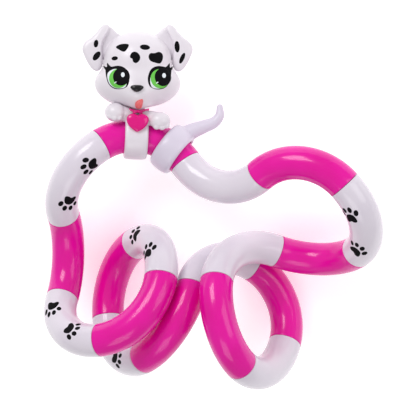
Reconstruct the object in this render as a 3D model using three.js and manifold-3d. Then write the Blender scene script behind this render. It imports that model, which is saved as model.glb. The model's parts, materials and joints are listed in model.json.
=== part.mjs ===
// Twist-and-turn loop toy: eighteen quarter-circle tube links snapped end to end on
// swivels, with a spotted puppy clipped on the first link and its tail on a ring behind it.
// Millimetres, +Z up. The toy lies on its back: the puppy looks up and its head points to +Y.
import * as THREE from "three";
import { mergeVertices } from "three/addons/utils/BufferGeometryUtils.js";
import Module from "manifold-3d";

const wasm = await Module();
wasm.setup();

// ---- driving dimensions ------------------------------------------------------------

const LINKS = 18;
const TUBE_DIAMETER = 11;
const BEND_RADIUS = 20.2; // of the tube's centre line
const TUBE_WALL = 1.4;
const FACE_GAP = 0.3; // between the end faces of two snapped links
const CLEARANCE = 0.3; // between pieces that turn in or sit in each other
const END_WEB = 1.5; // plastic left behind the face that carries the stud
const LIP_LENGTH = 1.5; // snap lip at the mouth of the socket
const SNAP_OVERLAP = 0.3; // how far the stud's bead reaches behind the lip
const BEAD_LENGTH = 1.2;
const STUD_LENGTH = 4.3; // from the joint plane to the stud's tip
const STUD_WALL = 1.2;
const SLOT_WIDTH = 0.9; // the slot that lets the stud's two prongs spring

// Turn of each link about its swivel, in degrees, 0 where the same circle goes on.
const TWISTS = [-63, -135, -165, 29, -31, -79, -34, 10, -24, 3, -90, -21, 0, -13, -28, 11, -73, 135];
const OPEN_AT = 3; // the link whose stud is left off, so that the loop can be swung open
const LIE_ROUGHLY = [147, -13, -37]; // turn of link 1 about X, Y and Z, before the toy is seated
const LIES_ON = ["link_09", "link_13", "puppy_head_rear"];

// Puppy, on link 1
const PUPPY_ARC = 34.5; // degrees round the link's bend
const PUPPY_ROLL = 18; // degrees round the tube
const CHARM_CLEARANCE = 0.45; // between a ring and the curved tube it turns on
const CLIP_WIDTH = 8;
const CLIP_WALL = 1.3;
const NECK_RADIUS = 2.9;
const NECK_FLANGE = 0.9; // how far the flange inside the head stands out
const FLANGE_THICKNESS = 1;
const NECK_STOP = 7.2; // from the head's centre down to the underside of the flange
const COLLAR_WALL = 1.1;
const COLLAR_HEIGHT = 1.5;
const HEAD_HEIGHT_ABOVE_TUBE = 21.5; // head's centre over the tube's centre line
const HEAD_FORWARD = 2;
const HEAD_ASIDE = -0.2;
const HEAD_TURN = -3; // degrees about the neck, to the puppy's right
const HEAD_WALL = 1.8;
const EAR_THICKNESS = 3;
const EAR_BACK = 3.2; // back face of the ears, behind the head's centre
const BOSS_RADIUS = 2.2;
const BOSS_SPREAD = 12; // between the two bosses that hold the head's halves together
const BOSS_HEIGHT = 4; // over the head's centre
const PEG_RADIUS = 1;
const PEG_REACH = 3; // how far a peg goes into the front half
const PEG_ROOT = 2; // how far a peg starts inside its own boss
const PAW_RADIUS = 3.4;
const ARM_RADIUS = 2.2;
const TAG_WIDTH = 7.1;
const TAG_HEIGHT = 6;
const TAG_THICKNESS = 1.8;
const TAG_DROP = 4.1; // tag's centre over the tube's centre line
const TAG_PEG_RADIUS = 0.8;

// Tail, on link 1
const TAIL_ARC = 72;
const TAIL_ROLL = 18;
const TAIL_RING_WIDTH = 7.6;
const TAIL_RING_WALL = 2.8; // of the fat ring at its middle
const TAIL_LENGTH = 14.5;
const TAIL_ROOT_RADIUS = 1.6;
const TAIL_TIP_RADIUS = 0.8;
// Edge of the ring: share of its half width, and how far it lies under the ring's outside.
const TAIL_RING_EDGE = [[1, 2], [0.8, 0.8], [0.4, 0.1]];
// Middle of the tail: distance along the tube, and distance out from the ring's outside.
const TAIL_CURL = [[0.6, -1.6], [1.6, 0.9], [3.4, 4.3], [5.6, 7.2], [6.4, 10.2], [5.3, 12.3]];

// ---- sizes that follow -------------------------------------------------------------

const TUBE_RADIUS = TUBE_DIAMETER / 2;
const HALF_GAP = FACE_GAP / 2;
const BORE_RADIUS = TUBE_RADIUS - TUBE_WALL;
const BEAD_RADIUS = BORE_RADIUS - CLEARANCE;
const LIP_RADIUS = BEAD_RADIUS - SNAP_OVERLAP;
const STUD_NECK_RADIUS = LIP_RADIUS - CLEARANCE;
const STUD_BORE_RADIUS = STUD_NECK_RADIUS - STUD_WALL;
const SOCKET_DEPTH = STUD_LENGTH + 2 * CLEARANCE;
const CHARM_BORE_RADIUS = TUBE_RADIUS + CHARM_CLEARANCE;
const CLIP_RADIUS = CHARM_BORE_RADIUS + CLIP_WALL;
const COLLAR_LOW = CLIP_RADIUS + CLEARANCE;
const COLLAR_RADIUS = NECK_RADIUS + CLEARANCE + COLLAR_WALL;
const TUBE_SIDES = 14; // facets round the outside of a tube
const ROUND_SIDES = 10; // facets round a bore or a stud
const COLLAR_SIDES = 20;
const QUARTER = Math.PI / 2;
const FAR = 40; // reach of a cutter that only has to clear the piece
const MARGIN = 1; // how far cutters and joined solids run past each other
const WELD = 1e-4; // points closer than this are one point
const CLOSING_PASSES = 12;
const SEATING_PASSES = 40;

const degrees = THREE.MathUtils.degToRad;

// ---- solids ------------------------------------------------------------------------

// A closed geometry as a solid, with its faces turned outwards.
function solidOf(geometry) {
  const bare = geometry.clone();
  bare.deleteAttribute("normal");
  bare.deleteAttribute("uv");
  const merged = mergeVertices(bare, WELD);
  const corners = merged.index.array;
  const faces = [];
  for (let i = 0; i < corners.length; i += 3) {
    const [a, b, c] = [corners[i], corners[i + 1], corners[i + 2]];
    if (a !== b && b !== c && c !== a) faces.push([a, b, c]);
  }
  const build = (list) =>
    new wasm.Manifold(
      new wasm.Mesh({
        numProp: 3,
        vertProperties: new Float32Array(merged.attributes.position.array),
        triVerts: new Uint32Array(list.flat()),
      }),
    );
  const made = build(faces);
  return made.volume() > 0 ? made : build(faces.map(([a, b, c]) => [a, c, b]));
}

function geometryOf(solid) {
  const mesh = solid.getMesh();
  const geometry = new THREE.BufferGeometry();
  geometry.setAttribute("position", new THREE.BufferAttribute(mesh.vertProperties, 3));
  geometry.setIndex(new THREE.BufferAttribute(mesh.triVerts, 1));
  const flat = geometry.toNonIndexed();
  flat.computeVertexNormals();
  return flat;
}

const join = (...solids) => solids.reduce((whole, next) => whole.add(next));
const cut = (solid, ...tools) => tools.reduce((rest, tool) => rest.subtract(tool), solid);

function block([x0, y0, z0], [x1, y1, z1]) {
  const box = new THREE.BoxGeometry(x1 - x0, y1 - y0, z1 - z0);
  box.translate((x0 + x1) / 2, (y0 + y1) / 2, (z0 + z1) / 2);
  return solidOf(box);
}

function ellipsoid([x, y, z], [rx, ry, rz], around = 14, down = 9) {
  const ball = new THREE.SphereGeometry(1, around, down);
  ball.scale(rx, ry, rz);
  ball.translate(x, y, z);
  return solidOf(ball);
}

// Turned solid about +X from [along, radius] pairs that start and end on the axis.
function turnedAlongX(profile, sides = ROUND_SIDES) {
  const points = profile.map(([along, radius]) => new THREE.Vector2(radius, along));
  return solidOf(new THREE.LatheGeometry(points, sides).rotateZ(-QUARTER));
}

function rodBetween(from, to, radius, sides = 12) {
  const start = new THREE.Vector3(...from);
  const run = new THREE.Vector3(...to).sub(start);
  const rod = new THREE.CylinderGeometry(radius, radius, run.length(), sides);
  rod.translate(0, run.length() / 2, 0);
  const turn = new THREE.Quaternion().setFromUnitVectors(
    new THREE.Vector3(0, 1, 0),
    run.clone().normalize(),
  );
  rod.applyQuaternion(turn);
  rod.translate(start.x, start.y, start.z);
  return solidOf(rod);
}

// The centre line of a link: it starts at the origin along +X and bends towards +Y.
class Bend extends THREE.Curve {
  constructor(from, to) {
    super();
    this.from = from;
    this.to = to;
  }

  angle(t) {
    return this.from + (this.to - this.from) * t;
  }

  getPoint(t, target = new THREE.Vector3()) {
    const a = this.angle(t);
    return target.set(BEND_RADIUS * Math.sin(a), BEND_RADIUS * (1 - Math.cos(a)), 0);
  }

  getTangent(t, target = new THREE.Vector3()) {
    const a = this.angle(t);
    return target.set(Math.cos(a), Math.sin(a), 0);
  }
}

function bentRod(radius, from, to, sides, steps) {
  const section = new THREE.Shape().absarc(0, 0, radius, 0, 2 * Math.PI);
  const extrudePath = new Bend(from, to);
  // A shape's full circle gets two points for each curve segment.
  const options = { steps, curveSegments: sides / 2, extrudePath };
  return solidOf(new THREE.ExtrudeGeometry(section, options));
}

// ---- links -------------------------------------------------------------------------

function snapStud() {
  const beadStart = HALF_GAP + LIP_LENGTH + CLEARANCE;
  const beadEnd = beadStart + BEAD_LENGTH;
  return turnedAlongX([
    [END_WEB / 2, 0],
    [END_WEB / 2, STUD_NECK_RADIUS],
    [-beadStart, STUD_NECK_RADIUS],
    [-beadStart - SNAP_OVERLAP, BEAD_RADIUS],
    [-beadEnd, BEAD_RADIUS],
    [-STUD_LENGTH, STUD_NECK_RADIUS - SNAP_OVERLAP],
    [-STUD_LENGTH, 0],
  ]);
}

function snapSocket() {
  const lipEnd = HALF_GAP + LIP_LENGTH;
  const profile = [
    [0, MARGIN],
    [BEAD_RADIUS, MARGIN],
    [BEAD_RADIUS, -HALF_GAP],
    [LIP_RADIUS, -HALF_GAP - SNAP_OVERLAP],
    [LIP_RADIUS, -lipEnd],
    [BORE_RADIUS, -lipEnd],
    [BORE_RADIUS, -SOCKET_DEPTH],
    [0, -SOCKET_DEPTH],
  ].map(([radius, along]) => new THREE.Vector2(radius, along));
  return solidOf(new THREE.LatheGeometry(profile, ROUND_SIDES).translate(BEND_RADIUS, BEND_RADIUS, 0));
}

// One link. The link at the place where the loop is pulled open carries no stud.
function linkSolid(hasStud) {
  const side = TUBE_RADIUS + MARGIN;
  const tube = cut(
    bentRod(TUBE_RADIUS, 0, QUARTER, TUBE_SIDES, 6),
    block([-MARGIN, -side, -side], [HALF_GAP, side, side]),
    block(
      [BEND_RADIUS - side, BEND_RADIUS - HALF_GAP, -side],
      [BEND_RADIUS + side, BEND_RADIUS + MARGIN, side],
    ),
  );
  const boreStart = (HALF_GAP + END_WEB) / BEND_RADIUS;
  const boreEnd = QUARTER - (SOCKET_DEPTH - 2 * CLEARANCE) / BEND_RADIUS;
  const through = [
    [-FAR, 0],
    [-FAR, STUD_BORE_RADIUS],
    [2 * END_WEB, STUD_BORE_RADIUS],
    [2 * END_WEB, 0],
  ];
  const slotStart = -HALF_GAP - STUD_WALL;
  const half = SLOT_WIDTH / 2;
  return cut(
    hasStud ? tube.add(snapStud()) : tube,
    bentRod(BORE_RADIUS, boreStart, boreEnd, ROUND_SIDES, 4),
    snapSocket(),
    turnedAlongX(through),
    block([-FAR, -side, -half], [slotStart, side, half]),
  );
}

// ---- the loop ----------------------------------------------------------------------

// Frames of the links in the first link's frame: X along the tube, Y towards the bend's centre.
function linkFrames(twists) {
  const toEnd = new THREE.Matrix4().makeRotationZ(QUARTER).setPosition(BEND_RADIUS, BEND_RADIUS, 0);
  const frames = [new THREE.Matrix4()];
  for (let k = 1; k <= LINKS; k++) {
    const swivel = new THREE.Matrix4().makeRotationX(degrees(twists[k % LINKS]));
    frames.push(frames[k - 1].clone().multiply(toEnd).multiply(swivel));
  }
  return frames;
}

// How far the last link's end misses the first link's start: nine numbers, all 0 when closed.
function loopMiss(twists) {
  const end = linkFrames(twists)[LINKS].elements;
  const place = [12, 13, 14].map((i) => end[i] / BEND_RADIUS);
  return [...place, end[0] - 1, end[1], end[2], end[4], end[5] - 1, end[6]];
}

// Gaussian elimination with row exchange.
function solveLinear(matrix, right) {
  const rows = matrix.map((row, i) => [...row, right[i]]);
  const size = rows.length;
  for (let i = 0; i < size; i++) {
    let best = i;
    for (let j = i + 1; j < size; j++) if (Math.abs(rows[j][i]) > Math.abs(rows[best][i])) best = j;
    [rows[i], rows[best]] = [rows[best], rows[i]];
    for (let j = i + 1; j < size; j++) {
      const share = rows[j][i] / rows[i][i];
      for (let c = i; c <= size; c++) rows[j][c] -= share * rows[i][c];
    }
  }
  const answer = new Array(size).fill(0);
  for (let i = size - 1; i >= 0; i--) {
    const known = answer.reduce((sum, value, c) => (c > i ? sum + rows[i][c] * value : sum), 0);
    answer[i] = (rows[i][size] - known) / rows[i][i];
  }
  return answer;
}

// The smallest change of all twists that makes the loop close on itself.
function closeLoop(twists) {
  const nudge = 1e-3;
  const damping = 1e-8; // the nine numbers hold only six that are independent
  let closed = [...twists];
  for (let pass = 0; pass < CLOSING_PASSES; pass++) {
    const miss = loopMiss(closed);
    const slopes = closed.map((_, k) => {
      const more = loopMiss(closed.map((turn, j) => (j === k ? turn + nudge : turn)));
      const less = loopMiss(closed.map((turn, j) => (j === k ? turn - nudge : turn)));
      return more.map((value, i) => (value - less[i]) / (2 * nudge));
    });
    const normal = miss.map((_, i) =>
      miss.map((_, j) => {
        const product = slopes.reduce((sum, slope) => sum + slope[i] * slope[j], 0);
        return i === j ? product + damping : product;
      }),
    );
    const weights = solveLinear(normal, miss);
    closed = closed.map((turn, k) => {
      const step = weights.reduce((sum, weight, i) => sum + weight * slopes[k][i], 0);
      return turn - step;
    });
  }
  return closed;
}

// ---- puppy, in its own frame: X along the tube, Z to the top of the head, -Y forwards ---

const HEAD_CENTRE = [HEAD_ASIDE, -HEAD_FORWARD, HEAD_HEIGHT_ABOVE_TUBE];
const NECK_TOP = HEAD_HEIGHT_ABOVE_TUBE - NECK_STOP;
const inHead = ([x, y, z]) => [HEAD_CENTRE[0] + x, HEAD_CENTRE[1] + y, HEAD_CENTRE[2] + z];
const HEAD_BALLS = [
  { name: "cranium", at: [0, 0.6, 3.5], radii: [11.2, 9.6, 9.3] },
  { name: "cheeks", at: [0, 0, -4.2], radii: [14, 9.6, 8.7] },
  { name: "muzzle", at: [-0.2, -7.4, -7.4], radii: [4.6, 3.6, 3.4] },
];

function headForm(grow, around = 14, down = 9) {
  const balls = HEAD_BALLS.map(({ at, radii }) =>
    ellipsoid(inHead(at), radii.map((radius) => radius + grow), around, down),
  );
  return join(...balls);
}

// Outline of a folded ear, out and up from the head's centre: its root on the skull, then
// a control point and an end point for each curve, by the peak, the corner and the tip.
const EAR_ROOT = [5.5, 11.2];
const EAR_CURVES = [
  { control: [8.4, 15.4], end: [11.2, 15] },
  { control: [16.4, 11.2], end: [18, 7.2] },
  { control: [17.4, 1.4], end: [13.4, 0.4] },
  { control: [11, 2.4], end: [9.2, 5.5] },
];

function ear(side) {
  const outline = new THREE.Shape();
  outline.moveTo(side * EAR_ROOT[0], EAR_ROOT[1]);
  for (const { control, end } of EAR_CURVES) {
    outline.quadraticCurveTo(side * control[0], control[1], side * end[0], end[1]);
  }
  const flap = new THREE.ExtrudeGeometry(outline, {
    depth: EAR_THICKNESS,
    curveSegments: 4,
    bevelEnabled: false,
  });
  flap.rotateX(QUARTER);
  flap.translate(HEAD_CENTRE[0], HEAD_CENTRE[1] + EAR_BACK, HEAD_CENTRE[2]);
  return solidOf(flap);
}

const NOSE = { at: [-0.3, -11, -6.2], radii: [2.2, 1.4, 1.15] };
const TONGUE = { at: [0.3, -8.6, -11], radii: [1.5, 1.8, 1.7] };
const pip = ({ at, radii }, grow = 0) =>
  ellipsoid(inHead(at), radii.map((radius) => radius + grow), 10, 6);

const BOSSES = [-BOSS_SPREAD / 2, BOSS_SPREAD / 2].map((x) => ({ x, z: BOSS_HEIGHT }));
const UNDER_SKIN = 0.5; // a boss stops this far inside the head's outside
const turned = (solid) => solid.rotate([0, 0, HEAD_TURN]);

function boss({ x, z }, radius, fromY, toY) {
  return rodBetween(inHead([x, fromY, z]), inHead([x, toY, z]), radius);
}

// The shell of the head, with the hole for the neck and the room for the collar.
function headShell() {
  const neckHoleTop = NECK_TOP + FLANGE_THICKNESS + CLEARANCE;
  const collarTop = COLLAR_LOW + COLLAR_HEIGHT + CLEARANCE;
  return cut(
    headForm(0),
    headForm(-HEAD_WALL),
    rodBetween([0, 0, 0], [0, 0, neckHoleTop], NECK_RADIUS + CLEARANCE),
    rodBetween([0, 0, 0], [0, 0, collarTop], COLLAR_RADIUS + CLEARANCE),
  );
}

// The head's halves meet on a plane through the middle of the head.
const PARTING = HEAD_CENTRE[1];
const behindParting = () => block([-FAR, PARTING - HALF_GAP, -FAR], [FAR, FAR, FAR]);
const beforeParting = () => block([-FAR, -FAR, -FAR], [FAR, PARTING + HALF_GAP, FAR]);

function headFront() {
  const within = headForm(-UNDER_SKIN);
  const posts = BOSSES.map((place) => boss(place, BOSS_RADIUS, 0, -FAR).intersect(within));
  const whole = cut(join(headShell(), ...posts), behindParting());
  const holeEnd = -PEG_REACH - MARGIN;
  const holes = BOSSES.map((place) => boss(place, PEG_RADIUS + CLEARANCE, MARGIN, holeEnd));
  return turned(cut(whole, ...holes, pip(NOSE, CLEARANCE), pip(TONGUE, CLEARANCE)));
}

function headRear() {
  const within = headForm(-UNDER_SKIN);
  const posts = BOSSES.map((place) => boss(place, BOSS_RADIUS, 0, FAR).intersect(within));
  const inside = headForm(-HEAD_WALL);
  const ears = [-1, 1].map((side) => cut(ear(side), inside));
  const half = cut(join(headShell(), ...posts, ...ears), beforeParting());
  const pegs = BOSSES.map((place) => boss(place, PEG_RADIUS, PEG_ROOT, -PEG_REACH));
  return turned(join(half, ...pegs));
}

function collar() {
  const low = [0, 0, COLLAR_LOW];
  const high = [0, 0, COLLAR_LOW + COLLAR_HEIGHT];
  const ring = rodBetween(low, high, COLLAR_RADIUS, COLLAR_SIDES);
  const hole = rodBetween([0, 0, 0], [0, 0, FAR], NECK_RADIUS + CLEARANCE);
  return cut(ring, hole);
}

const TAG_BACK = -CLIP_RADIUS - CLEARANCE;

function heartTag() {
  const [w, h] = [TAG_WIDTH / 2, TAG_HEIGHT];
  const heart = new THREE.Shape();
  heart.moveTo(0, 0);
  heart.bezierCurveTo(-w * 0.5, h * 0.25, -w, h * 0.45, -w, h * 0.72);
  heart.bezierCurveTo(-w, h * 1.05, -w * 0.2, h * 1.1, 0, h * 0.8);
  heart.bezierCurveTo(w * 0.2, h * 1.1, w, h * 1.05, w, h * 0.72);
  heart.bezierCurveTo(w, h * 0.45, w * 0.5, h * 0.25, 0, 0);
  const plate = new THREE.ExtrudeGeometry(heart, {
    depth: TAG_THICKNESS,
    curveSegments: 5,
    bevelEnabled: false,
  });
  plate.rotateX(QUARTER);
  plate.translate(0, TAG_BACK, TAG_DROP - TAG_HEIGHT / 2);
  const peg = rodBetween(
    [0, TAG_BACK - TAG_THICKNESS / 2, TAG_DROP],
    [0, -CHARM_BORE_RADIUS, TAG_DROP],
    TAG_PEG_RADIUS,
  );
  return cut(join(solidOf(plate), peg), tubeRoom());
}

// The space that a ring on link 1 leaves free for the tube, in the ring's own frame.
function tubeRoom(arc = PUPPY_ARC, roll = PUPPY_ROLL) {
  const [before, beyond] = [45, 60]; // degrees of bend, well past both ends of the ring
  const rod = bentRod(CHARM_BORE_RADIUS, degrees(-before), degrees(arc + beyond), 16, 16);
  const away = charmFrame(arc, roll).invert();
  return rod.transform(away.elements);
}

// Frame of a ring round link 1, in the link's frame.
function charmFrame(arc, roll) {
  const frame = new THREE.Matrix4().makeTranslation(0, BEND_RADIUS, 0);
  frame.multiply(new THREE.Matrix4().makeRotationZ(degrees(arc)));
  frame.multiply(new THREE.Matrix4().makeTranslation(0, -BEND_RADIUS, 0));
  return frame.multiply(new THREE.Matrix4().makeRotationX(QUARTER + degrees(roll)));
}

const PAWS = [
  { shoulder: [-2.6, -3.6, 6.2], paw: [-6.9, -4.9, 8], radii: [1, 1, 0.97] },
  { shoulder: [2.6, -4.4, 5.6], paw: [6.9, -7.1, 5.3], radii: [1.05, 0.95, 0.9] },
];

// The strap round the tube, the neck that holds the head, and the two front legs.
function puppyClip() {
  const half = CLIP_WIDTH / 2;
  const strap = rodBetween([-half, 0, 0], [half, 0, 0], CLIP_RADIUS, 24);
  const neck = rodBetween([0, 0, CHARM_BORE_RADIUS - MARGIN], [0, 0, NECK_TOP], NECK_RADIUS);
  const flangeTop = [0, 0, NECK_TOP + FLANGE_THICKNESS];
  const flange = rodBetween([0, 0, NECK_TOP], flangeTop, NECK_RADIUS + NECK_FLANGE);
  const legs = PAWS.flatMap(({ shoulder, paw, radii }) => [
    rodBetween(shoulder, paw, ARM_RADIUS, 10),
    ellipsoid(paw, radii.map((share) => share * PAW_RADIUS), 14, 9),
  ]);
  const headRoom = turned(cut(headForm(CLEARANCE), headForm(-HEAD_WALL - CLEARANCE)));
  const neckColumn = rodBetween([0, 0, 0], [0, 0, FAR], NECK_RADIUS, 12);
  const collarRoom = cut(
    rodBetween(
      [0, 0, COLLAR_LOW - CLEARANCE],
      [0, 0, COLLAR_LOW + COLLAR_HEIGHT + CLEARANCE],
      COLLAR_RADIUS + CLEARANCE,
      COLLAR_SIDES,
    ),
    neckColumn,
  );
  const tagRoom = rodBetween([0, -FAR, TAG_DROP], [0, 0, TAG_DROP], TAG_PEG_RADIUS + CLEARANCE);
  const trimmedLegs = cut(join(...legs), headRoom, collarRoom, tagPlateRoom());
  return cut(join(strap, neck, flange, trimmedLegs), tubeRoom(), tagRoom);
}

function tagPlateRoom() {
  const half = TAG_WIDTH / 2 + CLEARANCE;
  const low = TAG_DROP - TAG_HEIGHT / 2 - CLEARANCE;
  return block([-half, -FAR, low], [half, TAG_BACK + CLEARANCE, low + TAG_HEIGHT + 2 * CLEARANCE]);
}

// ---- tail: a fat ring round the tube that runs out into a curled tip -----------------

function tailSolid() {
  const half = TAIL_RING_WIDTH / 2;
  const outer = CHARM_BORE_RADIUS + TAIL_RING_WALL - CHARM_CLEARANCE;
  const edge = TAIL_RING_EDGE.map(([share, drop]) => [half * share, outer - drop]);
  const farEdge = edge.map(([along, radius]) => [-along, radius]);
  const ring = turnedAlongX([[-half, 0], ...farEdge, ...edge.toReversed(), [half, 0]], 22);
  const curl = new THREE.CatmullRomCurve3(
    TAIL_CURL.map(([along, out]) => new THREE.Vector3(along, 0, outer + out)),
  );
  const profile = [new THREE.Vector2(0, 0)];
  const steps = 9;
  for (let i = 0; i <= steps; i++) {
    const radius = THREE.MathUtils.lerp(TAIL_ROOT_RADIUS, TAIL_TIP_RADIUS, i / steps);
    profile.push(new THREE.Vector2(radius, (TAIL_LENGTH * i) / steps));
  }
  profile.push(new THREE.Vector2(TAIL_TIP_RADIUS / 2, TAIL_LENGTH + TAIL_TIP_RADIUS * 0.8));
  profile.push(new THREE.Vector2(0, TAIL_LENGTH + TAIL_TIP_RADIUS));
  const horn = new THREE.LatheGeometry(profile, 8);
  bendAlong(horn, curl, TAIL_LENGTH + TAIL_TIP_RADIUS);
  return cut(join(ring, solidOf(horn)), tubeRoom(TAIL_ARC, TAIL_ROLL));
}

// Lays a shape that stands along +Y on a curve in the X-Z plane.
function bendAlong(geometry, curve, length) {
  const place = geometry.attributes.position;
  const side = new THREE.Vector3(0, 1, 0);
  for (let i = 0; i < place.count; i++) {
    const share = Math.min(Math.max(place.getY(i) / length, 0), 1);
    const along = curve.getTangentAt(share);
    const across = new THREE.Vector3().crossVectors(side, along);
    const point = curve.getPointAt(share);
    point.addScaledVector(across, place.getX(i)).addScaledVector(side, place.getZ(i));
    place.setXYZ(i, point.x, point.y, point.z);
  }
}

// ---- materials ---------------------------------------------------------------------

const plastic = (color, roughness = 0.25) =>
  new THREE.MeshStandardMaterial({ color, roughness, metalness: 0 });
const PINK = plastic(0xe8389f);
const WHITE = plastic(0xece8f0);
const PUPPY_WHITE = plastic(0xf4f2f4, 0.4);
const TAG_PINK = plastic(0xe0207a, 0.3);
const BLACK = plastic(0x17151a, 0.3);
const TONGUE_PINK = plastic(0xf08a84, 0.4);

// ---- assembly ----------------------------------------------------------------------

function piece(name, solid, material) {
  const mesh = new THREE.Mesh(geometryOf(solid), material);
  mesh.name = name;
  return mesh;
}

function placed(group, frame) {
  group.applyMatrix4(frame);
  return group;
}

function buildPuppy() {
  const puppy = new THREE.Group();
  puppy.add(piece("puppy_clip", puppyClip(), PUPPY_WHITE));
  puppy.add(piece("puppy_head_front", headFront(), PUPPY_WHITE));
  puppy.add(piece("puppy_head_rear", headRear(), PUPPY_WHITE));
  puppy.add(piece("puppy_nose", turned(pip(NOSE)), BLACK));
  puppy.add(piece("puppy_tongue", turned(pip(TONGUE)), TONGUE_PINK));
  puppy.add(piece("puppy_collar", collar(), TAG_PINK));
  puppy.add(piece("puppy_heart_tag", heartTag(), TAG_PINK));
  return placed(puppy, charmFrame(PUPPY_ARC, PUPPY_ROLL));
}

function buildLoop() {
  const loop = new THREE.Group();
  const frames = linkFrames(closeLoop(TWISTS));
  const studded = linkSolid(true);
  const studless = linkSolid(false);
  for (let k = 0; k < LINKS; k++) {
    const name = `link_${String(k + 1).padStart(2, "0")}`;
    const solid = k + 1 === OPEN_AT ? studless : studded;
    const link = piece(name, solid, k % 2 ? WHITE : PINK);
    loop.add(placed(link, frames[k]));
  }
  loop.add(buildPuppy());
  const tail = new THREE.Group();
  tail.add(piece("tail", tailSolid(), PUPPY_WHITE));
  loop.add(placed(tail, charmFrame(TAIL_ARC, TAIL_ROLL)));
  return loop;
}

function lowestPoint(mesh) {
  const points = mesh.geometry.attributes.position;
  const lowest = new THREE.Vector3(0, 0, Infinity);
  const point = new THREE.Vector3();
  for (let i = 0; i < points.count; i++) {
    point.fromBufferAttribute(points, i).applyMatrix4(mesh.matrixWorld);
    if (point.z < lowest.z) lowest.copy(point);
  }
  return lowest;
}

// Tips the toy until its three resting pieces touch one level plane.
function seat(toy) {
  const up = new THREE.Vector3(0, 0, 1);
  for (let pass = 0; pass < SEATING_PASSES; pass++) {
    toy.updateMatrixWorld(true);
    const [a, b, c] = LIES_ON.map((name) => lowestPoint(toy.getObjectByName(name)));
    const normal = b.sub(a).cross(c.sub(a)).normalize();
    if (normal.z < 0) normal.negate();
    toy.quaternion.premultiply(new THREE.Quaternion().setFromUnitVectors(normal, up));
  }
}

// Puts the origin under the middle of the toy, on the surface it lies on.
function centre(toy) {
  toy.updateMatrixWorld(true);
  const box = new THREE.Box3().setFromObject(toy, true);
  const middle = box.getCenter(new THREE.Vector3());
  toy.position.sub(new THREE.Vector3(middle.x, middle.y, box.min.z));
}

const toy = buildLoop();
toy.rotation.set(...LIE_ROUGHLY.map(degrees));
seat(toy);
centre(toy);

const part = new THREE.Group();
part.add(toy);

export default part;
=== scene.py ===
# %% [markdown]
# # A twist-and-turn loop toy with a spotted puppy
#
# The toy is a closed loop of eighteen quarter-circle tubes that swivel on each other. A
# puppy is clipped round one tube, and its tail sits on a fat ring next to it. The packed
# CAD model already says where every piece is and how it moves. This lesson dresses that
# frame: each piece is rebuilt as a smooth, finely divided mesh with a moulded plastic
# finish, and is then tied to the CAD body that it moves with.

# %% Load the frame
import json
import math

import bmesh
import bpy
import numpy as np
from mathutils import Matrix, Vector
from mathutils.bvhtree import BVHTree


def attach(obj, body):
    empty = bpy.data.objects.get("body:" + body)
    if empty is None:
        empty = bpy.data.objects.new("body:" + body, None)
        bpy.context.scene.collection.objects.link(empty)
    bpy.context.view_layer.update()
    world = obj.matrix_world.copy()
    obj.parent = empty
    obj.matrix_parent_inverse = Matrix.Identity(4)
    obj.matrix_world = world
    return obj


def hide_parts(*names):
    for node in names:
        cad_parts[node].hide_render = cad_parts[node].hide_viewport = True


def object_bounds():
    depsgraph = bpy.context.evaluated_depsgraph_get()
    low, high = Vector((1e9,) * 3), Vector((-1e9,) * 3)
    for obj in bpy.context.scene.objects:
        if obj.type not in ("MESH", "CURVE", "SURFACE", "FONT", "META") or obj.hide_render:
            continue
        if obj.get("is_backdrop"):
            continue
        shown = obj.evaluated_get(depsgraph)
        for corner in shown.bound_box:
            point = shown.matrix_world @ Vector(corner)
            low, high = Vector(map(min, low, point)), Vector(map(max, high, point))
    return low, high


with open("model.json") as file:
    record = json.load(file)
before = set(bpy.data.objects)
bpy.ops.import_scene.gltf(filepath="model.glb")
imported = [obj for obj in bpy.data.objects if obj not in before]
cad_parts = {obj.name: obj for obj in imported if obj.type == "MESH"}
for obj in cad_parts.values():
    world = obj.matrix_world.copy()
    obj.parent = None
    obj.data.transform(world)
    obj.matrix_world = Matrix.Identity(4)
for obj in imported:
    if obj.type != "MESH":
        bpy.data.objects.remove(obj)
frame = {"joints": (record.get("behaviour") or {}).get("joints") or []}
CAD_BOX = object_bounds()
JOINTS = {joint["name"]: joint for joint in frame["joints"]}

# %% [markdown]
# ## One frame for each link
#
# All shapes are written in millimetres in a frame of their own, and are scaled to metres
# when they are placed. A link's frame sits at the start of its tube: X runs along the
# tube, Y points to the centre of the bend and Z stands across it. The swivels in the
# record give the place and the direction of each start. The loop was opened between
# links 2 and 3, so joint 3 has no row, but its neighbours fix it: a quarter bend's chord
# is the sum of the directions at its two ends. The links could also be parented to
# empties and turned by hand, but frames worked out from the joints can't drift from them.

# %% Frames of the links
MM = 0.001
LINKS = 18
BEND_RADIUS = 20.2
OPEN_AT = 3  # this link has no stud


def joint_place(number):
    return np.array(JOINTS[f"swivel_{number:02d}"]["pos_m"]) / MM


def joint_axis(number):
    axis = np.array(JOINTS[f"swivel_{number:02d}"]["axis"])
    return axis / np.linalg.norm(axis)


numbers = [n for n in range(1, LINKS + 1) if n != OPEN_AT]
starts = {n: joint_place(n) for n in numbers}
tangents = {n: joint_axis(n) for n in numbers}
before, after = OPEN_AT - 1, OPEN_AT + 1
chord = (starts[after] - starts[before]) / BEND_RADIUS
tangents[OPEN_AT] = (chord - tangents[before] - tangents[after]) / 2
starts[OPEN_AT] = starts[before] + BEND_RADIUS * (tangents[before] + tangents[OPEN_AT])


def matrix_of(x_axis, y_axis, origin):
    """A frame from two unit axes and an origin in millimetres, with its place in metres."""
    z_axis = np.cross(x_axis, y_axis)
    made = Matrix.Identity(4)
    for column, axis in enumerate((x_axis, y_axis, z_axis)):
        made.col[column] = Vector((*axis, 0.0))
    made.translation = Vector(origin) * MM
    return made


link_frames = {}
for n in range(1, LINKS + 1):
    ahead = tangents[n % LINKS + 1]
    ahead = ahead - tangents[n] * np.dot(ahead, tangents[n])
    link_frames[n] = matrix_of(tangents[n], ahead / np.linalg.norm(ahead), starts[n])
print("link frames:", len(link_frames))

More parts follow.
